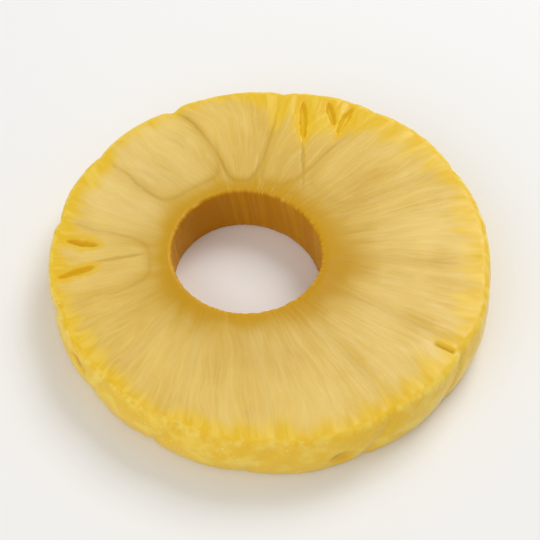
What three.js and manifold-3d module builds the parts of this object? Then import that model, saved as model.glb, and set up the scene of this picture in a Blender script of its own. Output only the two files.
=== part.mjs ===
// A fresh pineapple ring: one peeled, cored cross-cut slice of the fruit, lying on its flat underside.
// Millimetres, +Z up. The origin is on the underside, in the middle of the ring's outer box.
//
// The flesh is a ring of fruitlets that grew together round the core. Each fruitlet bulges a little at
// the peeled edge, and the seams between them are shallow grooves, some deeper than others. Where the
// knife passed through a fruitlet's middle, the cut opened its seed slits in the face. The peeler left
// shallow scars of the deepest eyes in the side, and the edge has one small tear.
import * as THREE from "three";
import { mergeVertices } from "three/addons/utils/BufferGeometryUtils.js";
import Module from "manifold-3d";

// Driving dimensions.
const OUTER_RADIUS = 47.4; // mean radius of the peeled edge
const CORE_RADIUS = 16.2; // mean radius of the punched core hole
const CORE_SHIFT = new THREE.Vector2(-5.4, 0.4); // the core sits off the middle of the fruit
const THICKNESS = 13; // between the two knife cuts
const FRUITLETS = 13; // fruitlets met by one level cut

// Knife and corer edges.
const OUTER_ROUND = 1.5; // softened edge between a face and the peeled side
const CORE_ROUND = 0.7; // crisper edge where the corer went through
const SIDE_BULGE = 0.5; // the peeled side stands out at half height

// Relief of the flesh.
const OUTLINE_WAVES = [[0.35, 2, 0.3], [0.3, 3, 4.2], [0.18, 5, 2.0]]; // size, waves round, turn
const CORE_WAVES = [[0.25, 2, 1.3], [0.15, 3, 0.5]];
const SEAM_WAVES = [[0.1, 1, 0.9], [0.04, 4, 0.6]];
const SEAM_TURN = -0.02; // turns the whole set of fruitlets, and the waves above make them unequal
const SEAM_STRENGTHS = [0.35, 0.5, 0.3, 0.45, 1, 0.4, 0.6, 0.5, 0.35, 0.7, 0.4, 0.55, 0.8];
const SEAM_SHARE = 0.22; // half width of a seam, as a share of half a fruitlet
const SEAM_DIP = 0.75; // how far the strongest seam dips into the peeled side
const SEAM_DEPTH = 0.15; // how far the strongest seam dips into the cut face
const SEAM_FADE = [0.55, 1]; // shares of the way out between which the face's seams come in
const SEAM_LEAN = 0.16; // radians that a seam turns from the underside to the top, as fruitlets spiral
const LOBE_RISE = 0.3; // how far a fruitlet's middle stands out at the peeled edge
const CUT_WAVE = 0.25; // rise and fall of the upper knife cut
const CUT_WAVE_TURN = 0.8; // radians that turn the high side of that cut

// Seed slits: fruitlet, turn from its middle, share of the way out, lean from straight out, half length.
const SLITS = [
  [2, 0.08, 0.72, 0.4, 5.7],
  [2, -0.045, 0.83, 0.7, 3.5],
  [2, -0.135, 0.81, 0.15, 4.3],
  [6, 0.08, 0.78, 0.2, 4.2],
  [6, -0.11, 0.74, -0.1, 3.6],
];
const SLIT_HALF_WIDTH = 0.95;
const SLIT_DEPTH = 1.2;

// Eye scars of the side, and the tear at the edge.
const SCAR_SIZE = new THREE.Vector3(0.9, 3.0, 2.1); // depth, half width, half height
const SCAR_CLIMB = 1.6; // scars lie above and below half height by this, in turn
const SCARRED_FRUITLETS = [1, 4, 7, 10];
const TEAR_ANGLE = -0.59;
const TEAR_SHARE = 0.9;
const TEAR_SIZE = new THREE.Vector3(2.6, 0.5, 1.0); // half length, half width, depth

// Fineness of the faceted solid.
const STEPS_ROUND = 104;
const STEPS_ACROSS = 6;
const STEPS_EDGE = 2;
const STEPS_SIDE = 4;
const CUTTER_STEPS = 8;
const MERGE_REACH = 1e-3; // points closer than this are one

const TURN = 2 * Math.PI;
const REPEATS = 30; // of the substitution that finds a fruitlet's middle

// Sum of cosines round the ring.
function waves(terms, angle) {
  return terms.reduce((sum, [size, count, turn]) => sum + size * Math.cos(count * angle + turn), 0);
}

// Fruitlets passed on the way round to an angle: a whole number on each seam.
function fruitletsPassed(angle) {
  return (FRUITLETS * (angle + SEAM_TURN + waves(SEAM_WAVES, angle))) / TURN;
}

// The seam's own strength on a seam between two fruitlets, 0 in a fruitlet's middle.
function seam(angle) {
  const passed = fruitletsPassed(angle);
  const nearest = THREE.MathUtils.euclideanModulo(Math.round(passed), FRUITLETS);
  return SEAM_STRENGTHS[nearest] * Math.exp(-((Math.sin(Math.PI * passed) / SEAM_SHARE) ** 2));
}

// 1 in a fruitlet's middle, 0 on its seams.
function lobe(angle) {
  return Math.sin(Math.PI * fruitletsPassed(angle)) ** 2;
}

// The angle of the middle of fruitlet number index, found by repeated substitution.
function fruitletMiddle(index) {
  const even = (TURN * (index + 0.5)) / FRUITLETS - SEAM_TURN;
  let angle = even;
  for (let step = 0; step < REPEATS; step++) angle = even - waves(SEAM_WAVES, angle);
  return angle;
}

// A point of the plan: share 0 is on the wall of the core hole, and share 1 on the peeled edge.
function planPoint(share, angle, lean = 0) {
  const direction = new THREE.Vector2(Math.cos(angle), Math.sin(angle));
  const core = direction.clone().multiplyScalar(CORE_RADIUS + waves(CORE_WAVES, angle)).add(CORE_SHIFT);
  const rise = LOBE_RISE * lobe(angle + lean) - SEAM_DIP * seam(angle + lean);
  const edgeRadius = OUTER_RADIUS + waves(OUTLINE_WAVES, angle) + rise;
  const edge = direction.multiplyScalar(edgeRadius);
  return core.lerp(edge, share);
}

// Height of the upper cut: a gentle wave, with the seams as grooves that fade out towards the core.
function cutHeight(share, angle) {
  const wave = CUT_WAVE * Math.sin(angle + CUT_WAVE_TURN) * share;
  const fade = THREE.MathUtils.smoothstep(share, ...SEAM_FADE);
  return THICKNESS + wave - SEAM_DEPTH * fade * seam(angle);
}

// A quarter arc of an edge, as points of the section.
function edgeArc(x, y, radius, start) {
  const arc = new THREE.Path().absarc(x, y, radius, start, start - Math.PI / 2, true);
  return arc.getPoints(STEPS_EDGE);
}

// Evenly spaced points between two corners of the section, without the corners themselves.
function between(from, to, steps, bulge = 0) {
  const points = [];
  for (let i = 1; i < steps; i++) {
    const point = from.clone().lerp(to, i / steps);
    point.x += bulge * Math.sin((Math.PI * i) / steps);
    points.push(point);
  }
  return points;
}

// The closed section of the ring, run anticlockwise so that the turned faces point out.
function sectionPoints() {
  const coreTop = edgeArc(CORE_RADIUS + CORE_ROUND, THICKNESS - CORE_ROUND, CORE_ROUND, Math.PI);
  const edgeX = OUTER_RADIUS - OUTER_ROUND;
  const outerTop = edgeArc(edgeX, THICKNESS - OUTER_ROUND, OUTER_ROUND, Math.PI / 2);
  const outerFoot = edgeArc(edgeX, OUTER_ROUND, OUTER_ROUND, 0);
  const coreFoot = edgeArc(CORE_RADIUS + CORE_ROUND, CORE_ROUND, CORE_ROUND, -Math.PI / 2);
  const last = (points) => points[points.length - 1];
  const clockwise = [
    ...coreTop,
    ...between(last(coreTop), outerTop[0], STEPS_ACROSS),
    ...outerTop,
    ...between(last(outerTop), outerFoot[0], STEPS_SIDE, SIDE_BULGE),
    ...outerFoot,
    ...between(last(outerFoot), coreFoot[0], 2),
    ...coreFoot,
    coreTop[0].clone(),
  ];
  return clockwise.reverse();
}

// The ring before its slits and scars: the section turned round, then moved onto the uneven plan.
function ringGeometry() {
  const geometry = new THREE.LatheGeometry(sectionPoints(), STEPS_ROUND);
  const position = geometry.getAttribute("position");
  for (let i = 0; i < position.count; i++) {
    const angle = Math.atan2(position.getX(i), position.getZ(i));
    const radius = Math.hypot(position.getX(i), position.getZ(i));
    const level = position.getY(i) / THICKNESS;
    const share = (radius - CORE_RADIUS) / (OUTER_RADIUS - CORE_RADIUS);
    const plan = planPoint(share, angle, SEAM_LEAN * (1 - level));
    position.setXYZ(i, plan.x, plan.y, level * cutHeight(share, angle));
  }
  return geometry;
}

// An ellipsoid that cuts a slit or a scar: centre, half sizes and its turn about Z.
function cutterGeometry(centre, halfSizes, turn) {
  const geometry = new THREE.SphereGeometry(1, CUTTER_STEPS, CUTTER_STEPS / 2);
  geometry.scale(halfSizes.x, halfSizes.y, halfSizes.z);
  geometry.rotateZ(turn);
  geometry.translate(centre.x, centre.y, centre.z);
  return geometry;
}

// A cutter in the upper face, with its middle on the cut and its length turned from straight out by lean.
function faceCutter(share, angle, lean, halfSizes) {
  const plan = planPoint(share, angle);
  const centre = new THREE.Vector3(plan.x, plan.y, cutHeight(share, angle));
  const outward = planPoint(1, angle).sub(planPoint(0, angle)).angle();
  return cutterGeometry(centre, halfSizes, outward + lean);
}

// The seed slits that the cut opened.
function slitCutters() {
  return SLITS.map(([index, turn, share, lean, halfLength]) => {
    const halfSizes = new THREE.Vector3(halfLength, SLIT_HALF_WIDTH, SLIT_DEPTH);
    return faceCutter(share, fruitletMiddle(index) + turn, lean, halfSizes);
  });
}

// The eye scars, which lie in turn above and below half height.
function scarCutters() {
  return SCARRED_FRUITLETS.map((index) => {
    const middle = fruitletMiddle(index);
    const plan = planPoint(1, middle);
    const climb = index % 2 ? SCAR_CLIMB : -SCAR_CLIMB;
    const centre = new THREE.Vector3(plan.x, plan.y, THICKNESS / 2 + climb);
    return cutterGeometry(centre, SCAR_SIZE, middle);
  });
}

// A closed geometry as a manifold-3d solid, with only its merged positions.
function solidOf(wasm, geometry) {
  geometry.deleteAttribute("normal");
  geometry.deleteAttribute("uv");
  const merged = mergeVertices(geometry, MERGE_REACH);
  const vertProperties = merged.getAttribute("position").array;
  const triVerts = new Uint32Array(merged.index.array);
  return new wasm.Manifold(new wasm.Mesh({ numProp: 3, vertProperties, triVerts }));
}

// A manifold-3d solid as a geometry.
function geometryOf(solid) {
  const mesh = solid.getMesh();
  const geometry = new THREE.BufferGeometry();
  geometry.setAttribute("position", new THREE.BufferAttribute(mesh.vertProperties, 3));
  geometry.setIndex(new THREE.BufferAttribute(mesh.triVerts, 1));
  geometry.computeVertexNormals();
  return geometry;
}

// The finished ring, with the middle of its outer box above the origin.
function pineappleRing(wasm) {
  const tear = faceCutter(TEAR_SHARE, TEAR_ANGLE, 0, TEAR_SIZE);
  let solid = solidOf(wasm, ringGeometry());
  for (const cutter of [...slitCutters(), tear, ...scarCutters()]) {
    solid = solid.subtract(solidOf(wasm, cutter));
  }
  const geometry = geometryOf(solid);
  geometry.computeBoundingBox();
  const middle = geometry.boundingBox.getCenter(new THREE.Vector3());
  geometry.translate(-middle.x, -middle.y, 0);
  const flesh = new THREE.MeshStandardMaterial({ color: 0xf0cf78, roughness: 0.4, metalness: 0 });
  const mesh = new THREE.Mesh(geometry, flesh);
  mesh.name = "pineapple_ring";
  return mesh;
}

const wasm = await Module();
wasm.setup();

const ring = new THREE.Group();
ring.add(pineappleRing(wasm));

export default ring;
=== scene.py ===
"""The looks of one fresh pineapple ring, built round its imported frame.

The ring is one closed surface: a section of the cut flesh carried round the core hole. Its plan and its cut
repeat the formulas of the solid, and the relief of the flesh is added along the surface's normals. Sizes of
the flesh are in millimetres, angles in radians, and the finished mesh is in metres, +Z up.
"""
import itertools
import math

import bpy
import numpy as np
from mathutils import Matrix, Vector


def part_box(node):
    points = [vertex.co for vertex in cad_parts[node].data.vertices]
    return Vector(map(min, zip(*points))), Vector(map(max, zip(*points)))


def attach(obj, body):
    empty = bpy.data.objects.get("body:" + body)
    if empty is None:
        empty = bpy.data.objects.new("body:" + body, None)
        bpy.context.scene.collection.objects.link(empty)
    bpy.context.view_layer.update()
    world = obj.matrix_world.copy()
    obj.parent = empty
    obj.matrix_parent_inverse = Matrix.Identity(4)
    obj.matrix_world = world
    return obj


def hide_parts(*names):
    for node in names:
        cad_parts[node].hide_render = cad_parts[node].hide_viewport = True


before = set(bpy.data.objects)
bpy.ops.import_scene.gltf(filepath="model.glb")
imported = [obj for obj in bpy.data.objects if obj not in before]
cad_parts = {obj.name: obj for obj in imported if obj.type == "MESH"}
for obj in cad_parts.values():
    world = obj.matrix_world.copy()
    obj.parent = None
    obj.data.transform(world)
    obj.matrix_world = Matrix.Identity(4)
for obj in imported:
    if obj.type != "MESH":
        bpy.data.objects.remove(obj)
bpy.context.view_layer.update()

TURN = 2 * math.pi
MM = 0.001  # metres in a millimetre
RING_NODE = "pineapple_ring"
REPEATS = 30  # of the substitution that finds a fruitlet's middle

# Driving sizes of the ring.
OUTER_RADIUS = 47.4  # mean radius of the peeled edge
CORE_RADIUS = 16.2  # mean radius of the punched core hole
CORE_SHIFT = (-5.4, 0.4)  # the core sits off the middle of the fruit
THICKNESS = 13.0  # between the two knife cuts
FRUITLETS = 13  # fruitlets met by one level cut
OUTER_ROUND = 1.5  # softened edge between a face and the peeled side
CORE_ROUND = 0.7  # crisper edge where the corer went through
SIDE_BULGE = 0.5  # the peeled side stands out at half height
OUTLINE_WAVES = ((0.35, 2, 0.3), (0.3, 3, 4.2), (0.18, 5, 2.0))  # size, waves round, turn
CORE_WAVES = ((0.25, 2, 1.3), (0.15, 3, 0.5))
SEAM_WAVES = ((0.1, 1, 0.9), (0.04, 4, 0.6))
SEAM_TURN = -0.02  # turns the whole set of fruitlets, and the waves above make them unequal
SEAM_STRENGTHS = np.array((0.35, 0.5, 0.3, 0.45, 1, 0.4, 0.6, 0.5, 0.35, 0.7, 0.4, 0.55, 0.8))
SEAM_SHARE = 0.22  # half width of a seam, as a share of half a fruitlet
SEAM_DIP = 0.75  # how far the strongest seam dips into the peeled side
SEAM_DEPTH = 0.15  # how far the strongest seam dips into the cut face
SEAM_FADE = (0.55, 1.0)  # shares of the way out between which the face's seams come in
SEAM_LEAN = 0.16  # turn of a seam from the underside to the top, as fruitlets spiral
LOBE_RISE = 0.3  # how far a fruitlet's middle stands out at the peeled edge
CUT_WAVE = (0.25, 0.8)  # rise and fall of the upper knife cut, and the turn of its high side

# Seed slits: fruitlet, turn from its middle, share of the way out, lean from straight out, half length.
SLITS = (
    (2, 0.08, 0.72, 0.4, 5.7),
    (2, -0.045, 0.83, 0.7, 3.5),
    (2, -0.135, 0.81, 0.15, 4.3),
    (6, 0.08, 0.78, 0.2, 4.2),
    (6, -0.11, 0.74, -0.1, 3.6),
)
SLIT_HALF_WIDTH = 0.95
SLIT_DEPTH = 1.2
HALO_WIDTH = 2.8  # how much wider than its slit the yellow flesh round it is
HALO_LENGTH = 1.5  # how much longer than its slit that flesh is
CREASES = ((2, -0.1, 0.34, 0.57, 8.0), (6, 0.01, 0.42, 0.1, 6.0))  # closed folds, given as the slits are
CREASE_HALF_WIDTH = 0.6
CREASE_LINE = 0.3  # how dark a crease is beside the plainest border
CREASE_SHADE = 0.65  # the same for the soft shade along it
GROOVE_UNEVEN = (0.3, 0.9, 51)  # uneven width of a groove: size, cells in a millimetre, seed

# Eye scars of the side, and the tear at the edge.
SCAR_SIZE = (0.9, 3.0, 2.1)  # depth, half width, half height
SCAR_CLIMB = 1.6  # scars lie above and below half height by this, in turn
SCARRED_FRUITLETS = (1, 4, 7, 10)
SCAR_BOTTOM = (0.35, 0.95)  # shares of a scar's depth between which its dark bottom comes in
TEAR_ANGLE = -0.59
TEAR_SHARE = 0.9
TEAR_SIZE = (2.6, 0.5, 1.0)  # half length, half width, depth

# The fruitlets as they show in a cut face, one number for each.
TONGUE_TIPS = np.array((0.12, 0.2, 0.1, 0.1, 0.16, 0.08, 0.18, 0.1, 0.2, 0.12, 0.08, 0.16, 0.1))
TONGUE_STRENGTHS = np.array((0.2, 0.25, 0.5, 1, 0.55, 0.3, 0.45, 0.25, 0.2, 0.2, 0.15, 0.25, 0.35))
PALE_BORDERS = np.array((0.3, 0.1, 0, 0, 0.1, 0.4, 0, 0.4, 0.7, 0.9, 0.8, 0.7, 0.3))
TONES = np.array((0.4, 0.5, 1, 0.55, 0.3, 0.1, 0.5, 0.4, 0.45, 0.55, 0.35, 0.25, 0.2))

# Lines and shades of the flesh. Widths are in millimetres, and fades are shares of the way out.
FACE_WIDTH = OUTER_RADIUS - CORE_RADIUS  # mean width of a cut face
BORDER_WIDTH = 0.55  # half width of the dark line on a fruitlet's border
SHADE_WIDTH = 1.6  # half width of the soft shade along that line
PALE_WIDTH = 0.9  # half width of the pale line that takes its place elsewhere
HEART_DEPTH = (0.3, 3.5)  # distances inside a border between which the pale heart comes in
STRAND_WIDTH = 0.22  # half width of a strand's bell on its noise
INNER_FADE = (0.05, 0.8)
PALE_FADE = (0.02, 0.35)
RIM_FADE = (0.79, 0.95)
FRINGE_FADE = (0.8, 0.96)
RIGHT_STREAKS = 0.4  # how much longer the rim's streaks are on the right side
RIGHT_REACH = 0.03  # how much further in the rim reaches there
GLOW_WIDTH = 0.14  # share of the way out that the golden flesh round the core reaches
GLOW_SPREAD = 0.1  # what its widest sides add to that
CROSSING_LEAN = 0.2  # turn of the side's crossing lines from the underside to the top
CROSSING_LEVEL = 0.35  # the level where that turn is none
SIDE_LINE_WIDTHS = (0.07, 0.06)  # half widths of the side's two sets of lines, as the seams' are given
CROSSING_STRENGTH = 0.7  # how strong the crossing lines are beside the others
SIDE_LINE = 0.5  # how dark the side's lines are beside the plainest border
SIDE_LINE_DEPTH = 0.2
CORE_RAGGED_FADE = (0.75, 1.0)  # levels between which the upper edge of the core hole turns ragged
FIBRE_DROP = 0.3  # how far the fibres' pattern runs on down a wall, beside its run across a face

# How far each kind of place stands out of the upper cut.
FACE_RELIEF = {
    "strand": 0.014,
    "heart": 0.03,
    "soft_border": -0.1,
    "halo": -0.15,
    "slit": -SLIT_DEPTH,
    "tear": -TEAR_SIZE[2],
}

# Patches on one side of the ring: strength, angle of the middle, half width.
PATCHES = {
    "plainest_tongue": (0.27, 1.95, 0.38),
    "opened_flesh": (0.28, 1.3, 0.28),
    "right_side": (1.0, 0.2, 0.8),
    "narrow_rim": (0.08, 2.0, 0.35),
    "lower_right": (1.0, 5.85, 0.5),
    "lower_left": (0.7, 3.85, 0.45),
    # upper_left and below_core place the pale veil of painted reflection
    "upper_left": (1.0, 2.6, 0.55),
    "below_core": (1 / 3, 4.75, 0.7),
}

# Noises of the flesh: mean, size, cells round the ring, cells along, seed.
UNEVEN = {
    "fruitlet_bend": (0.0, 0.1, 9, 1, 5),
    "border_wander": (0.0, 0.012, 50, 6, 6),
    "border_patches": (0.7, 0.3, 50, 4, 7),
    "quick_wander": (0.0, 0.012, 70, 7, 10),
    "slow_wander": (0.0, 0.03, 24, 3, 11),
    "undulation": (0.0, 0.03, 26, 4, 12),
    "strands": (0.0, 1.0, 300, 4, 13),
    "coarse_fibres": (0.0, 0.016, 150, 4, 14),
    "fringe": (0.0, 0.12, 190, 3, 15),
    "side_facets": (0.0, 0.1, 90, 2, 21),
    "side_fibre_ends": (0.0, 0.07, 330, 10, 22),
    "scar_outline": (1.0, 0.5, 130, 5, 25),
    "scar_bottom": (0.0, 0.35, 300, 11, 26),
    "side_line_wander": (0.0, 0.012, 90, 3, 27),
    "side_line_patches": (0.6, 0.5, 40, 2, 28),
    "core_ribs": (0.0, 0.07, 170, 2, 31),
    "core_rings": (0.0, 0.03, 8, 9, 32),
    "core_ragged": (0.0, 0.12, 120, 3, 33),
    "underside_fibres": (0.05, 0.05, 190, 4, 41),
    "rim_broad": (0.0, 0.035, 46, 2, 61),
    "rim_medium": (0.0, 0.05, 130, 2.5, 62),
    "rim_fine": (0.0, 0.04, 290, 3, 63),
    "opened_streaks": (1.0, 0.6, 120, 2, 64),
    "pale_streaks": (0.85, 0.35, 60, 2, 65),
    "glow_streaks": (1.0, 0.35, 60, 3, 71),
}
NOISE_CENTRE = 40.5  # the noises' circles are centred between lattice points
LATTICE_FACTORS = (374761393, 668265263, 1274126177, 144665)  # for x, y, z and the seed
FOLDS = ((13, 1274126177), (15, 2246822519))  # bits folded down, and the factor after each fold
LAST_FOLD = 16

# Grain drawn out along the fibres: scales across twice and along, layers of detail.
GRAINS = {
    "broad": ((9, 9, 1.2), 2),
    "medium": ((27, 27, 2.8), 2),
    "fine": ((66, 66, 7), 2),
    "threads": ((34, 34, 2.2), 1),
    "cells": ((100, 100, 30), 1),
}

# Patterns that lie evenly in the flesh: cells in a metre, layers of detail.
SPECKLES = {
    "clouds": (70.0, 3),
    "mottle": (260.0, 3),
    "ragged": (1800.0, 1),
}
DOTS = 700.0  # cells in a metre
DOTS_RAGGED = 0.5  # how far the ragged pattern bends the dots' outlines

# Streaks that break up the tints: the values of a pattern between which each comes in.
STREAKS = {
    "clouds": (0.3, 0.65),
    "mottle": (0.42, 0.68),
    "dots": (0.43, 0.33),
    "broad": (0.42, 0.66),
    "medium": (0.42, 0.66),
}

# The pale flesh: two colours in clouds, and the grain laid on them in turn, as pattern, the values between
# which it comes in, how strongly, and the colour as it is seen.
BASE_COLOURS = ((222, 184, 80), (238, 205, 108))
BASE_CLOUDS = (0.32, 0.68)
GRAIN_TINTS = (
    ("broad", 0.44, 0.7, 0.2, (243, 216, 130)),
    ("medium", 0.5, 0.72, 0.14, (246, 222, 144)),
    ("medium", 0.5, 0.3, 0.1, (212, 168, 62)),
    ("fine", 0.5, 0.3, 0.12, (212, 168, 62)),
)
THREAD_WIDTH = 0.1
THREAD_TINT = (252, 232, 164)
THREAD_STRENGTH = 0.16

# Tints laid on the pale flesh, in turn: where, broken up by which streaks, the colour as it is seen, and how
# strongly.
FLESH_TINTS = (
    ("tone", "clouds", (224, 182, 62), 0.5),
    ("inner", "even", (204, 162, 60), 0.55),
    # Painted reflection: a pale cream veil over the upper left and below the core hole
    ("pale", "even", (246, 222, 156), 0.42),
    ("heart", "broad", (243, 216, 130), 0.2),
    ("strand", "even", (248, 230, 158), 0.1),
    ("soft_border", "even", (208, 165, 40), 0.65),
    ("border", "even", (188, 142, 22), 0.75),
    ("pale_border", "even", (248, 228, 158), 0.25),
    ("core_glow", "even", (206, 158, 8), 1.0),
    ("deep_glow", "even", (196, 144, 0), 0.55),
    ("rim", "even", (236, 196, 38), 0.92),
    ("rim", "medium", (248, 220, 108), 0.45),
    ("halo", "even", (236, 192, 30), 0.95),
    ("side", "even", (238, 194, 38), 0.94),
    ("side", "mottle", (248, 220, 104), 0.6),
    ("side", "dots", (252, 232, 150), 0.42),
    # Painted highlight: paler streaks along the rounded edge between the cut face and the peeled side
    ("edge", "medium", (250, 226, 130), 0.5),
    ("scar", "even", (226, 176, 28), 0.6),
    ("scar_bottom", "mottle", (196, 134, 14), 0.7),
    ("slit", "even", (240, 204, 42), 1.0),
    # The core hole's wall: darker amber, partly the flesh's own golden colour and partly painted shade
    # inside the hole
    ("core_wall", "even", (192, 130, 0), 1.0),
    ("core_wall", "broad", (212, 156, 6), 0.5),
    ("core_edge", "medium", (234, 194, 80), 0.6),
)

# Shine of the flesh, given as the pattern's values and the results at those two values.
ROUGHNESS = (0.35, 0.65, 0.3, 0.46)
JUICE = (0.38, 0.62, 0.1, 0.42)
CORE_ROUGHNESS = 0.2  # added on the core hole's wall
CORE_JUICE = 0.15  # share of the juice left on that wall
BUMP_GRAIN = 0.8
BUMP_CELLS = 0.35

# Fineness of the surface.
COLUMNS = 820
ROWS = {
    "core_top": 3,
    "face": 66,
    "rim_top": 6,
    "side": 15,
    "rim_foot": 4,
    "underside": 15,
    "core_foot": 3,
    "core_wall": 8,
}
FACE_GATHER = 0.85  # power that gathers the rows of the face towards the peeled edge
SLIT_GATHER = 2.2  # columns added at the opened seed slits, for each column there would be elsewhere
SLIT_GATHER_WIDTH = 0.17  # half width of that stretch
ANGLE_STEPS = 20001  # for spreading the columns

# Studio. Lamps: name, azimuth, elevation, size, power, colour. Degrees, metres and watts.
LAMPS = (
    ("key_lamp", 145, 50, 0.4, 2.9, (1.0, 0.99, 0.97)),
    ("fill_lamp", -40, 32, 0.8, 2.1, (1.0, 1.0, 1.0)),
)
LAMP_DISTANCE = 0.8
SKY_COLOUR = (1.0, 0.99, 0.97, 1.0)
SKY_STRENGTH = 0.49
FLOOR_REACH = 3.0
FLOOR_COLOUR = (0.95, 0.95, 0.95, 1.0)
FLOOR_ROUGHNESS = 0.8
CAMERA_LENS = 100  # millimetres
CAMERA_ELEVATION = 55
CAMERA_DISTANCE = 0.33
CAMERA_NEAREST = 0.01  # nothing nearer than this is drawn


def smooth_step(value, low, high):
    """0 below low, 1 above high, and 3t^2 - 2t^3 between them."""
    t = np.clip((value - low) / (high - low), 0, 1)
    return t * t * (3 - 2 * t)


def bell(value, width):
    """1 at zero, falling off on both sides as exp(-(value / width)^2)."""
    return np.exp(-((value / width) ** 2))


def turn_between(angle, middle):
    """The turn from the middle to the angle, the short way round."""
    return (angle - middle + math.pi) % TURN - math.pi


def patch(name, angle):
    """One of the patches on one side of the ring: its strength times a bell on the turn from its middle."""
    strength, middle, width = PATCHES[name]
    return strength * bell(turn_between(angle, middle), width)


def waves(terms, angle):
    """The sum of cosines round the ring: size times cos(count times angle plus turn)."""
    return sum(size * np.cos(count * angle + turn) for size, count, turn in terms)


def lattice(x, y, z, seed):
    """A repeatable number from -1 to 1 at each whole lattice point: its three numbers and the seed are
    multiplied by large factors and added, and the bits of the sum are folded together."""
    mixed = sum(number * factor for number, factor in zip((x, y, z, seed), LATTICE_FACTORS))
    mixed = mixed.astype(np.uint32)
    for bits, factor in FOLDS:
        mixed = (mixed ^ (mixed >> np.uint32(bits))) * np.uint32(factor)
    mixed = mixed ^ (mixed >> np.uint32(LAST_FOLD))
    return mixed / 2**31 - 1


def noise(x, y, z, seed):
    """Smooth noise from -1 to 1: the numbers of the eight lattice points round each point, blended along
    each axis by 3t^2 - 2t^3."""
    x, y, z = np.broadcast_arrays(x, y, z)
    cells = [np.floor(a).astype(np.int64) for a in (x, y, z)]
    shares = [a - cell for a, cell in zip((x, y, z), cells)]
    blends = [t * t * (3 - 2 * t) for t in shares]
    total = np.zeros(x.shape)
    for corner in itertools.product((0, 1), repeat=3):
        weight = np.ones(x.shape)
        for step, blend in zip(corner, blends):
            weight = weight * (blend if step else 1 - blend)
        total += weight * lattice(*(cell + step for cell, step in zip(cells, corner)), seed)
    return total


def round_noise(name, angle, along):
    """One of the noises of the flesh: its mean plus its size times a noise that closes round the ring. The
    angle is laid on a circle of cells_round / 2 pi cells' radius, and along runs up the third axis."""
    mean, size, cells_round, cells_along, seed = UNEVEN[name]
    radius = cells_round / TURN
    x = radius * np.cos(angle) + NOISE_CENTRE
    y = radius * np.sin(angle) + NOISE_CENTRE
    return mean + size * noise(x, y, along * cells_along, seed)


def fruitlets_passed(angle):
    """Fruitlets passed on the way round to an angle: a whole number on each seam."""
    return FRUITLETS * (angle + SEAM_TURN + waves(SEAM_WAVES, angle)) / TURN


def seam(angle):
    """The seam's own strength on a seam between two fruitlets, and 0 in a fruitlet's middle: a bell on
    sin(pi times the fruitlets passed)."""
    passed = fruitlets_passed(angle)
    strength = SEAM_STRENGTHS[np.round(passed).astype(int) % FRUITLETS]
    return strength * bell(np.sin(math.pi * passed), SEAM_SHARE)


def lobe(angle):
    """1 in a fruitlet's middle and 0 on its seams: the square of sin(pi times the fruitlets passed)."""
    return np.sin(math.pi * fruitlets_passed(angle)) ** 2


def fruitlet_middle(index):
    """The angle of a fruitlet's middle, by repeated substitution of the uneven shift."""
    even = TURN * (index + 0.5) / FRUITLETS - SEAM_TURN
    angle = even
    for _ in range(REPEATS):
        angle = even - waves(SEAM_WAVES, angle)
    return float(angle)


def plan_point(share, angle, lean=0.0):
    """A point of the plan: share 0 lies on the core hole's wall, share 1 on the peeled edge, and the rest on
    the straight line between the two at that angle."""
    core_radius = CORE_RADIUS + waves(CORE_WAVES, angle)
    rise = LOBE_RISE * lobe(angle + lean) - SEAM_DIP * seam(angle + lean)
    edge_radius = OUTER_RADIUS + waves(OUTLINE_WAVES, angle) + rise
    x = (1 - share) * (CORE_SHIFT[0] + core_radius * np.cos(angle)) + share * edge_radius * np.cos(angle)
    y = (1 - share) * (CORE_SHIFT[1] + core_radius * np.sin(angle)) + share * edge_radius * np.sin(angle)
    return x, y


def cut_height(share, angle):
    """Height of the upper cut: a gentle wave, less the seams as grooves that fade out towards the core."""
    size, turn = CUT_WAVE
    fade = smooth_step(share, *SEAM_FADE)
    return THICKNESS + size * np.sin(angle + turn) * share - SEAM_DEPTH * fade * seam(angle)


def arc(x, y, radius, start, steps):
    """A quarter arc of the section, turning clockwise from the start angle, without its last point."""
    turn = start - np.arange(steps) / steps * TURN / 4
    return x + radius * np.cos(turn), y + radius * np.sin(turn)


def section():
    """The closed section of the flesh, clockwise from the top of the core wall, as radius and height. The
    rows of the face are closer together towards the peeled edge, where its seed slits and its fringe are."""
    core_x = CORE_RADIUS + CORE_ROUND
    rim_x = OUTER_RADIUS - OUTER_ROUND
    core_top = arc(core_x, THICKNESS - CORE_ROUND, CORE_ROUND, TURN / 2, ROWS["core_top"])
    rim_top = arc(rim_x, THICKNESS - OUTER_ROUND, OUTER_ROUND, TURN / 4, ROWS["rim_top"])
    rim_foot = arc(rim_x, OUTER_ROUND, OUTER_ROUND, 0, ROWS["rim_foot"])
    core_foot = arc(core_x, CORE_ROUND, CORE_ROUND, -TURN / 4, ROWS["core_foot"])
    steps = np.arange(ROWS["face"]) / ROWS["face"]
    face = (core_x + (rim_x - core_x) * steps**FACE_GATHER, np.full(ROWS["face"], THICKNESS))
    steps = np.arange(ROWS["side"]) / ROWS["side"]
    side_height = THICKNESS - OUTER_ROUND - (THICKNESS - 2 * OUTER_ROUND) * steps
    side = (OUTER_RADIUS + SIDE_BULGE * np.sin(math.pi * steps), side_height)
    steps = np.arange(ROWS["underside"]) / ROWS["underside"]
    underside = (rim_x + (core_x - rim_x) * steps, np.zeros(ROWS["underside"]))
    steps = np.arange(ROWS["core_wall"]) / ROWS["core_wall"]
    wall_height = CORE_ROUND + (THICKNESS - 2 * CORE_ROUND) * steps
    core_wall = (np.full(ROWS["core_wall"], CORE_RADIUS), wall_height)
    parts = (core_top, face, rim_top, side, rim_foot, underside, core_foot, core_wall)
    return tuple(np.concatenate(column) for column in zip(*parts))


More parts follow.
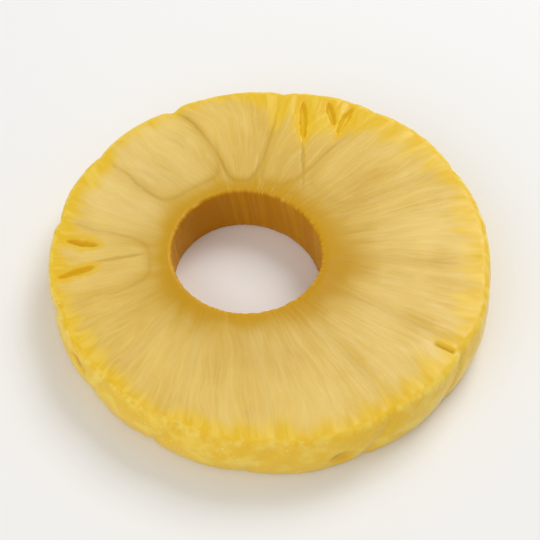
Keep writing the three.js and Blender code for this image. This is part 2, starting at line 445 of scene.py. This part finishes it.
def column_angles():
    """Angles of the columns, closer together round the opened seed slits: even steps of the summed density
    of columns, which is 1 with a bell added on each slit's fruitlet."""
    fine = np.linspace(0, TURN, ANGLE_STEPS)
    density = np.ones(fine.size)
    for index in sorted({slit[0] for slit in SLITS}):
        density += SLIT_GATHER * bell(turn_between(fine, fruitlet_middle(index)), SLIT_GATHER_WIDTH)
    steps = np.concatenate(([0], np.cumsum((density[1:] + density[:-1]) / 2)))
    return np.interp(np.arange(COLUMNS) / COLUMNS, steps / steps[-1], fine)


def normals_of(x, y, z):
    """Unit normals of a closed grid: the cross product of its steps along the section and round the ring."""
    points = np.stack((x, y, z), axis=-1)
    round_step = np.roll(points, -1, axis=0) - np.roll(points, 1, axis=0)
    section_step = np.roll(points, -1, axis=1) - np.roll(points, 1, axis=1)
    normal = np.cross(section_step, round_step)
    return normal / np.linalg.norm(normal, axis=-1, keepdims=True)


def groove(flesh, share, angle, lean, half_length, half_width):
    """1 along the bottom of a straight groove in the face and 0 outside it: 1 - length^4 - width^2 (1 +
    length^2), to the power 0.8, with length and width measured from its middle in half lengths and half
    widths. It is turned from straight out by lean, its width is uneven, and it narrows to both ends."""
    middle = plan_point(share, angle)
    inner = plan_point(0.0, angle)
    outer = plan_point(1.0, angle)
    turn = math.atan2(outer[1] - inner[1], outer[0] - inner[0]) + lean
    away_x = flesh.x - middle[0]
    away_y = flesh.y - middle[1]
    length = (away_x * math.cos(turn) + away_y * math.sin(turn)) / half_length
    size, cells, seed = GROOVE_UNEVEN
    uneven = 1 + size * noise(flesh.x * cells, flesh.y * cells, 0.0, seed)
    width = (away_y * math.cos(turn) - away_x * math.sin(turn)) / (half_width * uneven)
    return np.clip(1 - length**4 - width**2 * (1 + length**2), 0, 1) ** 0.8


def grooves(flesh, places, half_width, stretch=1.0):
    """The deepest of several grooves at each point, each given by fruitlet, turn, share, lean and half
    length."""
    deepest = flesh.whole
    for fruitlet, turn, share, lean, half_length in places:
        angle = fruitlet_middle(fruitlet) + turn
        deepest = np.maximum(deepest, groove(flesh, share, angle, lean, half_length * stretch, half_width))
    return deepest


class Flesh:
    """The grid of the ring, with where each point lies in the fruit. Columns run round the ring, rows along
    the section. Up, down, out and inward are 1 where the section faces that way."""

    def __init__(self):
        radius, height = section()
        self.angle = column_angles()[:, None]
        self.share = ((radius - CORE_RADIUS) / FACE_WIDTH)[None, :]
        self.level = (height / THICKNESS)[None, :]
        lean = SEAM_LEAN * (1 - self.level)
        self.leaning = self.angle + lean
        self.x, self.y = plan_point(self.share, self.angle, lean)
        self.z = self.level * cut_height(self.share, self.angle)
        self.normal = normals_of(self.x, self.y, self.z)
        section_x = np.roll(radius, -1) - np.roll(radius, 1)
        section_z = np.roll(height, -1) - np.roll(height, 1)
        length = np.hypot(section_x, section_z)
        self.up = np.clip(section_x / length, 0, 1)[None, :]
        self.down = np.clip(-section_x / length, 0, 1)[None, :]
        self.out = np.clip(-section_z / length, 0, 1)[None, :]
        self.inward = np.clip(section_z / length, 0, 1)[None, :]
        self.whole = np.zeros(self.x.shape)
        self.bent = self.leaning + fruitlet_bend(self.angle) * (1 - self.share)
        self.flow = self.bent + fibre_wander(self.angle, self.share)


def fruitlet_bend(angle):
    """How far the fruitlets turn aside between the peeled edge and the core: most in the one whose tongue is
    plainest, a little in the rest."""
    return patch("plainest_tongue", angle) + round_noise("fruitlet_bend", angle, 0.0)


def fibre_wander(angle, share):
    """Slow and quick wander of the fibres to either side, in radians."""
    return round_noise("slow_wander", angle, share) + round_noise("quick_wander", angle, share)


def tongue_border(flesh):
    """Borders of the fruitlets in a cut face, and the pale heart inside each. A fruitlet is tongue-shaped:
    its border is |across|^3 + ((1 - share) / (1 - tip))^8 = 1, where across runs from -1 on one seam to 1 on
    the next, so it closes in a U towards the core. The distance from it in millimetres is that sum less 1,
    over the length of its slope."""
    passed = fruitlets_passed(flesh.bent + round_noise("border_wander", flesh.angle, flesh.share))
    index = np.floor(passed).astype(int) % FRUITLETS
    across = 2 * (passed - np.floor(passed)) - 1
    tip = TONGUE_TIPS[index]
    depth = (1 - flesh.share) / (1 - tip)
    total = np.abs(across) ** 3 + depth**8
    slope_round = 3 * across**2 * (FRUITLETS / math.pi) / (CORE_RADIUS + flesh.share * FACE_WIDTH)
    slope_out = 8 * depth**7 / ((1 - tip) * FACE_WIDTH)
    distance = (total - 1) / np.hypot(slope_round, slope_out)
    strength = TONGUE_STRENGTHS[index] * round_noise("border_patches", flesh.angle, flesh.share)
    return distance, strength, index


def rim_streaks(flesh):
    """The deep yellow of the rim, 1 at the peeled edge: it fades in over the last fifth of the way out, and
    streaks drawn out along the fibres carry it further in or hold it back. It reaches furthest in round the
    opened slits, a little further on the right side, and least at the upper left."""
    streaks = round_noise("rim_broad", flesh.flow, flesh.share)
    streaks = streaks + round_noise("rim_medium", flesh.flow, flesh.share)
    streaks = streaks + round_noise("rim_fine", flesh.flow, flesh.share)
    right_side = patch("right_side", flesh.angle)
    opened = patch("opened_flesh", flesh.angle) * round_noise("opened_streaks", flesh.flow, flesh.share)
    reach = streaks * (1 + RIGHT_STREAKS * right_side) + opened + RIGHT_REACH * right_side
    reach = reach - patch("narrow_rim", flesh.angle)
    return smooth_step(flesh.share + reach, *RIM_FADE)


def glassy_sides(flesh):
    """Where the golden flesh round the core hole reaches furthest: 1 on the lower right and a little less on
    the lower left."""
    return patch("lower_right", flesh.angle) + patch("lower_left", flesh.angle)


def painted_pale_veil(flesh):
    """Where a pale cream veil is painted on the flesh as painted reflection: 1 at the upper left and a third
    below the core hole, fading out at the core, with edges drawn out along the fibres."""
    places = patch("upper_left", flesh.angle) + patch("below_core", flesh.angle)
    streaks = round_noise("pale_streaks", flesh.flow, flesh.share)
    return places * streaks * smooth_step(flesh.share, *PALE_FADE)


def core_glow(flesh):
    """The glassy golden flesh round the core hole, 1 at its wall: exp(-(share / width)^3), with its edge
    drawn out along the fibres."""
    width = GLOW_WIDTH + GLOW_SPREAD * glassy_sides(flesh)
    streaks = round_noise("glow_streaks", flesh.flow, flesh.share)
    return np.exp(-(np.maximum(flesh.share, 0) / (width * streaks)) ** 3)


def side_borders(flesh):
    """The borders of the fruitlets on the peeled side, as two sets of thin lines that lean opposite ways and
    fade in and out: narrow bells on sin(pi times the fruitlets passed) of each leaning angle."""
    crossing = flesh.angle + CROSSING_LEAN * (flesh.level - CROSSING_LEVEL)
    wander = round_noise("side_line_wander", flesh.angle, flesh.level)
    along_width, across_width = SIDE_LINE_WIDTHS
    along = bell(np.sin(math.pi * fruitlets_passed(flesh.leaning + wander)), along_width)
    across = bell(np.sin(math.pi * fruitlets_passed(crossing + wander)), across_width)
    patchy = round_noise("side_line_patches", flesh.angle, flesh.level)
    return np.maximum(along, CROSSING_STRENGTH * across) * patchy


def scar_bowls(flesh):
    """Depth of the eye scars, 1 at the bottom: 1 - (width^2 + rise^2) times the sum of two noises, a bowl
    with an uneven outline and bottom."""
    bowls = flesh.whole
    uneven = round_noise("scar_outline", flesh.angle, flesh.level)
    uneven = uneven + round_noise("scar_bottom", flesh.angle, flesh.level)
    for index in SCARRED_FRUITLETS:
        climb = SCAR_CLIMB if index % 2 else -SCAR_CLIMB
        width = turn_between(flesh.angle, fruitlet_middle(index)) * OUTER_RADIUS / SCAR_SIZE[1]
        rise = (flesh.level * THICKNESS - THICKNESS / 2 - climb) / SCAR_SIZE[2]
        bowls = bowls + np.clip(1 - (width**2 + rise**2) * uneven, 0, 1)
    return bowls


def edge_between(first, second):
    """1 in the middle of the rounded edge between two ways of facing, and 0 on both faces: 4 times the
    product of their squares."""
    return 4 * first**2 * second**2


def colour_masks(flesh):
    """Where each tint of the flesh lies, from 0 to 1, as arrays on the grid."""
    flat = flesh.up + flesh.down
    distance, strength, index = tongue_border(flesh)
    crease = grooves(flesh, CREASES, CREASE_HALF_WIDTH) * flesh.up
    line = np.maximum(flat * bell(distance, BORDER_WIDTH) * strength, CREASE_LINE * crease)
    shade = np.maximum(flat * bell(distance, SHADE_WIDTH) * strength, CREASE_SHADE * crease)
    slit = grooves(flesh, SLITS, SLIT_HALF_WIDTH)
    halo = grooves(flesh, SLITS, HALO_WIDTH * SLIT_HALF_WIDTH, HALO_LENGTH)
    tear = groove(flesh, TEAR_SHARE, TEAR_ANGLE, 0.0, TEAR_SIZE[0], TEAR_SIZE[1])
    glow = core_glow(flesh)
    scar = scar_bowls(flesh)
    return {
        "border": line + SIDE_LINE * flesh.out * side_borders(flesh),
        "soft_border": shade,
        "pale_border": flat * bell(distance, PALE_WIDTH) * PALE_BORDERS[index],
        "heart": flat * smooth_step(-distance, *HEART_DEPTH),
        "tone": TONES[index] + flesh.whole,
        "slit": slit * flesh.up,
        "halo": halo * flesh.up,
        "tear": tear * flesh.up,
        "inner": flat * (1 - smooth_step(flesh.share, *INNER_FADE)) + flesh.whole,
        # Painted reflection: a pale cream veil
        "pale": flat * painted_pale_veil(flesh),
        "core_glow": glow,
        "deep_glow": glow * glassy_sides(flesh),
        # The core hole's wall, which carries painted shade as well as its own golden colour
        "core_wall": flesh.inward + flesh.whole,
        "rim": flat * rim_streaks(flesh),
        "side": flesh.out + flesh.whole,
        # The rounded edge between the cut face and the peeled side, where a highlight is painted
        "edge": edge_between(flesh.up, flesh.out) + flesh.whole,
        "core_edge": edge_between(flesh.up, flesh.inward) + flesh.whole,
        "scar": scar * flesh.out,
        "scar_bottom": smooth_step(scar, *SCAR_BOTTOM) * flesh.out,
        "strand": bell(round_noise("strands", flesh.flow, flesh.share), STRAND_WIDTH) + flesh.whole,
    }


def face_relief(flesh, masks):
    """Relief of the upper cut in millimetres: soft undulations, fibre strands standing up, sunken fruitlet
    borders, open seed slits, the tear and the torn fringe of the rim."""
    uneven = round_noise("undulation", flesh.flow, flesh.share)
    uneven = uneven + round_noise("coarse_fibres", flesh.flow, flesh.share)
    fringe = smooth_step(flesh.share, *FRINGE_FADE) * round_noise("fringe", flesh.flow, flesh.share)
    return uneven + fringe + sum(height * masks[place] for place, height in FACE_RELIEF.items())


def side_relief(flesh, masks):
    """Relief of the peeled side in millimetres: eye scars, long shallow facets and fibre ends."""
    facets = round_noise("side_facets", flesh.leaning, flesh.level)
    ends = round_noise("side_fibre_ends", flesh.leaning, flesh.level)
    return facets + ends - SIDE_LINE_DEPTH * masks["border"] - SCAR_SIZE[0] * masks["scar"]


def core_relief(flesh):
    """Relief of the core hole's wall in millimetres: fibres cut lengthwise, as fine upright ribs, ragged
    along the upper edge."""
    ribs = round_noise("core_ribs", flesh.flow, flesh.level)
    rings = round_noise("core_rings", flesh.angle, flesh.level)
    ragged = round_noise("core_ragged", flesh.angle, flesh.level)
    return ribs + rings + ragged * smooth_step(flesh.level, *CORE_RAGGED_FADE)


def underside_relief(flesh):
    """Relief of the lower cut in millimetres, never outwards, so that the ring rests level."""
    return -round_noise("underside_fibres", flesh.flow, flesh.share)


def flesh_relief(flesh, masks):
    """Relief of the whole surface in millimetres: that of each face, by how far the section faces its
    way."""
    return (
        flesh.up * face_relief(flesh, masks)
        + flesh.out * side_relief(flesh, masks)
        + flesh.inward * core_relief(flesh)
        + flesh.down * underside_relief(flesh)
    )


def fibre_way(flesh):
    """Where a point lies along the fibres, as a vector: the cosine and sine of its fibre's angle, and how
    far out it lies, which runs on down both walls."""
    drop = FIBRE_DROP * (1 - flesh.level)
    along = flesh.share * (flesh.up + flesh.down) + (1 + drop) * flesh.out - drop * flesh.inward
    way = (np.cos(flesh.flow) + flesh.whole, np.sin(flesh.flow) + flesh.whole, along + flesh.whole)
    return np.stack(way, axis=-1)


def grid_quads(columns, rows):
    """Quads of a grid that closes both ways: each point, the next along the section, and the same two in the
    next column."""
    here = np.arange(columns * rows).reshape(columns, rows)
    below = np.roll(here, -1, axis=1)
    beside = np.roll(here, -1, axis=0)
    across = np.roll(below, -1, axis=0)
    return np.stack((here, below, across, beside), axis=-1).reshape(-1, 4)


def store(mesh, name, kind, field, values):
    """Keeps an array on the mesh's points, under a name."""
    layer = mesh.attributes.new(name, kind, "POINT")
    layer.data.foreach_set(field, values.astype(np.float32).ravel())


def ring_mesh(name):
    """The closed mesh of the ring: the grid moved along its normals by the relief of the flesh, centred on
    the frame, with its tints and the way of its fibres as attributes."""
    flesh = Flesh()
    masks = colour_masks(flesh)
    relief = flesh_relief(flesh, masks)
    x = flesh.x + relief * flesh.normal[..., 0]
    y = flesh.y + relief * flesh.normal[..., 1]
    z = np.maximum(flesh.z + relief * flesh.normal[..., 2], 0)
    low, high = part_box(RING_NODE)
    centre = (low + high) / 2
    x = x - (flesh.x.max() + flesh.x.min()) / 2 + centre.x / MM
    y = y - (flesh.y.max() + flesh.y.min()) / 2 + centre.y / MM
    points = np.stack((x, y, z + low.z / MM), axis=-1).reshape(-1, 3) * MM
    mesh = bpy.data.meshes.new(name)
    mesh.from_pydata(points, [], grid_quads(*flesh.x.shape))
    mesh.shade_smooth()
    for tint, values in masks.items():
        store(mesh, tint, "FLOAT", "value", values)
    store(mesh, "fibre_way", "FLOAT_VECTOR", "vector", fibre_way(flesh))
    return mesh


def linear(red, green, blue):
    """A colour given as it is seen, 0 to 255, as the shader's own linear numbers: ((share + 0.055) /
    1.055)^2.4 of each."""
    shares = [value / 255 for value in (red, green, blue)]
    return tuple(((share + 0.055) / 1.055) ** 2.4 for share in shares) + (1.0,)


class Nodes:
    """Short calls for the nodes of one material."""

    def __init__(self, name):
        self.material = bpy.data.materials.new(name)
        self.material.use_nodes = True
        self.tree = self.material.node_tree
        self.tree.nodes.clear()

    def feed(self, socket, value):
        """Sets a socket to a plain value, or links another socket to it."""
        if isinstance(value, bpy.types.NodeSocket):
            self.tree.links.new(value, socket)
        else:
            socket.default_value = value

    def put(self, kind, **inputs):
        """A node of that kind, with its inputs fed by name."""
        node = self.tree.nodes.new(kind)
        for key, value in inputs.items():
            self.feed(node.inputs[key.replace("_", " ")], value)
        return node

    def mask(self, name):
        """One of the mesh's tints."""
        node = self.put("ShaderNodeAttribute")
        node.attribute_name = name
        return node.outputs["Fac"]

    def way(self, name, scale):
        """A vector of the mesh, stretched by three scales."""
        node = self.put("ShaderNodeAttribute")
        node.attribute_name = name
        mapping = self.put("ShaderNodeMapping", Vector=node.outputs["Vector"], Scale=scale)
        return mapping.outputs["Vector"]

    def noise(self, vector, scale, detail):
        """Layered noise, about 0.5 on average."""
        node = self.put("ShaderNodeTexNoise", Vector=vector, Scale=scale, Detail=detail, Roughness=0.5)
        return node.outputs["Fac"]

    def spots(self, vector, scale):
        """The distance to the nearest of many scattered points, as a share of the space between them."""
        node = self.put("ShaderNodeTexVoronoi", Vector=vector, Scale=scale)
        return node.outputs["Distance"]

    def between(self, value, low, high, to_low=0.0, to_high=1.0):
        """The value's place between low and high, as a smooth share from to_low to to_high."""
        node = self.tree.nodes.new("ShaderNodeMapRange")
        node.interpolation_type = "SMOOTHSTEP"
        self.feed(node.inputs["Value"], value)
        self.feed(node.inputs["From Min"], low)
        self.feed(node.inputs["From Max"], high)
        self.feed(node.inputs["To Min"], to_low)
        self.feed(node.inputs["To Max"], to_high)
        return node.outputs["Result"]

    def thread(self, value, width):
        """Thin threads, 1 where a noise passes 0.5 and 0 a width away on either side."""
        rising = self.between(value, 0.5 - width, 0.5)
        falling = self.between(value, 0.5 + width, 0.5)
        return self.sum("MULTIPLY", rising, falling)

    def sum(self, operation, first, second):
        """One sum of two numbers, either of which may be a socket."""
        node = self.tree.nodes.new("ShaderNodeMath")
        node.operation = operation
        self.feed(node.inputs[0], first)
        self.feed(node.inputs[1], second)
        return node.outputs["Value"]

    def tinted(self, under, over, share):
        """The colour under with the colour over laid on it by that share."""
        node = self.tree.nodes.new("ShaderNodeMix")
        node.data_type = "RGBA"
        for socket, value in ((node.inputs[0], share), (node.inputs[6], under), (node.inputs[7], over)):
            self.feed(socket, value)
        return node.outputs[2]


def flesh_patterns(n):
    """The patterns of the flesh as sockets: grain drawn out along the fibres, clouds, mottle, and dots with
    ragged outlines."""
    patterns = {}
    for name, (scales, detail) in GRAINS.items():
        patterns[name] = n.noise(n.way("fibre_way", scales), 1.0, detail)
    place = n.put("ShaderNodeTexCoord").outputs["Object"]
    for name, (scale, detail) in SPECKLES.items():
        patterns[name] = n.noise(place, scale, detail)
    ragged = n.sum("MULTIPLY", patterns["ragged"], DOTS_RAGGED)
    patterns["dots"] = n.sum("ADD", n.spots(place, DOTS), ragged)
    return patterns


def flesh_colour(n, patterns):
    """The colour of the flesh: two base colours in clouds, the grain, the threads, and then the tints, each
    laid on by its mask times its streaks times its strength."""
    under, over = BASE_COLOURS
    colour = n.tinted(linear(*under), linear(*over), n.between(patterns["clouds"], *BASE_CLOUDS))
    for pattern, low, high, strength, tint in GRAIN_TINTS:
        colour = n.tinted(colour, linear(*tint), n.between(patterns[pattern], low, high, 0.0, strength))
    threads = n.sum("MULTIPLY", n.thread(patterns["threads"], THREAD_WIDTH), THREAD_STRENGTH)
    colour = n.tinted(colour, linear(*THREAD_TINT), threads)
    streaks = {name: n.between(patterns[name], low, high) for name, (low, high) in STREAKS.items()}
    streaks["even"] = 1.0
    for mask, pattern, tint, strength in FLESH_TINTS:
        amount = n.sum("MULTIPLY", n.mask(mask), streaks[pattern])
        colour = n.tinted(colour, linear(*tint), n.sum("MULTIPLY", amount, strength))
    return colour


def flesh_material():
    """Moist pineapple flesh: pale between the fibres, golden along the fruitlets' borders and round the core
    hole, and a clear yellow at the rim."""
    n = Nodes("moist_flesh")
    patterns = flesh_patterns(n)
    core_wall = n.mask("core_wall")
    roughness = n.between(patterns["mottle"], *ROUGHNESS)
    roughness = n.sum("ADD", roughness, n.sum("MULTIPLY", core_wall, CORE_ROUGHNESS))
    juice = n.between(patterns["clouds"], *JUICE)
    wetness = n.sum("MULTIPLY", juice, n.between(core_wall, 0.0, 1.0, 1.0, CORE_JUICE))
    grain = n.sum("MULTIPLY", patterns["medium"], BUMP_GRAIN)
    height = n.sum("ADD", grain, n.sum("MULTIPLY", patterns["cells"], BUMP_CELLS))
    bump = n.put("ShaderNodeBump", Height=height, Strength=0.28, Distance=0.0002)
    skin = n.put(
        "ShaderNodeBsdfPrincipled",
        Base_Color=flesh_colour(n, patterns),
        Roughness=roughness,
        Normal=bump.outputs["Normal"],
        Subsurface_Weight=0.7,
        Subsurface_Radius=(1.0, 0.84, 0.28),
        Subsurface_Scale=0.0028,
        Coat_Weight=wetness,
        Coat_Roughness=0.16,
        Coat_IOR=1.34,
        Specular_IOR_Level=0.28,
        IOR=1.36,
    )
    output = n.put("ShaderNodeOutputMaterial")
    n.tree.links.new(skin.outputs["BSDF"], output.inputs["Surface"])
    return n.material


def plain_material(name, colour, roughness):
    """A plain matt finish for the floor."""
    n = Nodes(name)
    skin = n.put("ShaderNodeBsdfPrincipled", Base_Color=colour, Roughness=roughness)
    output = n.put("ShaderNodeOutputMaterial")
    n.tree.links.new(skin.outputs["BSDF"], output.inputs["Surface"])
    return n.material


def make_ring():
    """The ring, riding on its body and standing for its solid."""
    ring = bpy.data.objects.new("cut_ring_flesh", ring_mesh("cut_ring_flesh"))
    bpy.context.scene.collection.objects.link(ring)
    ring.data.materials.append(flesh_material())
    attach(ring, "root")
    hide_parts(RING_NODE)


def make_floor():
    """A plain pale floor, level with the ring's underside."""
    reach = FLOOR_REACH
    corners = [(-reach, -reach, 0), (reach, -reach, 0), (reach, reach, 0), (-reach, reach, 0)]
    mesh = bpy.data.meshes.new("floor")
    mesh.from_pydata(corners, [], [(0, 1, 2, 3)])
    floor = bpy.data.objects.new("floor", mesh)
    floor.data.materials.append(plain_material("floor_white", FLOOR_COLOUR, FLOOR_ROUGHNESS))
    bpy.context.scene.collection.objects.link(floor)


def aim(thing, place, target):
    """Puts a lamp or camera at a place, with its view along -Z turned to the target."""
    way = target - place
    thing.location = place
    thing.rotation_mode = "QUATERNION"
    thing.rotation_quaternion = way.to_track_quat("-Z", "Y")


def round_place(centre, azimuth, elevation, distance):
    """A place round the centre: azimuth 0 looks along +Y, and elevation is above the horizon, in degrees."""
    turn = math.radians(azimuth)
    rise = math.radians(elevation)
    back = type(centre)((math.sin(turn) * math.cos(rise), -math.cos(turn) * math.cos(rise), math.sin(rise)))
    return centre + back * distance


def make_lamp(name, centre, azimuth, elevation, size, power, colour):
    """A soft square lamp turned to the ring."""
    light = bpy.data.lights.new(name, "AREA")
    light.shape = "SQUARE"
    light.size = size
    light.energy = power
    light.color = colour
    lamp = bpy.data.objects.new(name, light)
    bpy.context.scene.collection.objects.link(lamp)
    aim(lamp, round_place(centre, azimuth, elevation, LAMP_DISTANCE), centre)


def make_studio(centre):
    """Soft studio light and the camera that looks down on the cut face."""
    scene = bpy.context.scene
    world = bpy.data.worlds.new("studio")
    world.use_nodes = True
    world.node_tree.nodes["Background"].inputs["Color"].default_value = SKY_COLOUR
    world.node_tree.nodes["Background"].inputs["Strength"].default_value = SKY_STRENGTH
    scene.world = world
    scene.view_settings.view_transform = "Standard"
    for name, azimuth, elevation, size, power, colour in LAMPS:
        make_lamp(name, centre, azimuth, elevation, size, power, colour)
    data = bpy.data.cameras.new("camera")
    data.lens = CAMERA_LENS
    data.clip_start = CAMERA_NEAREST
    camera = bpy.data.objects.new("camera", data)
    scene.collection.objects.link(camera)
    aim(camera, round_place(centre, 0, CAMERA_ELEVATION, CAMERA_DISTANCE), centre)
    scene.camera = camera


ring_low, ring_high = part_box(RING_NODE)
make_studio((ring_low + ring_high) / 2)
make_floor()
make_ring()
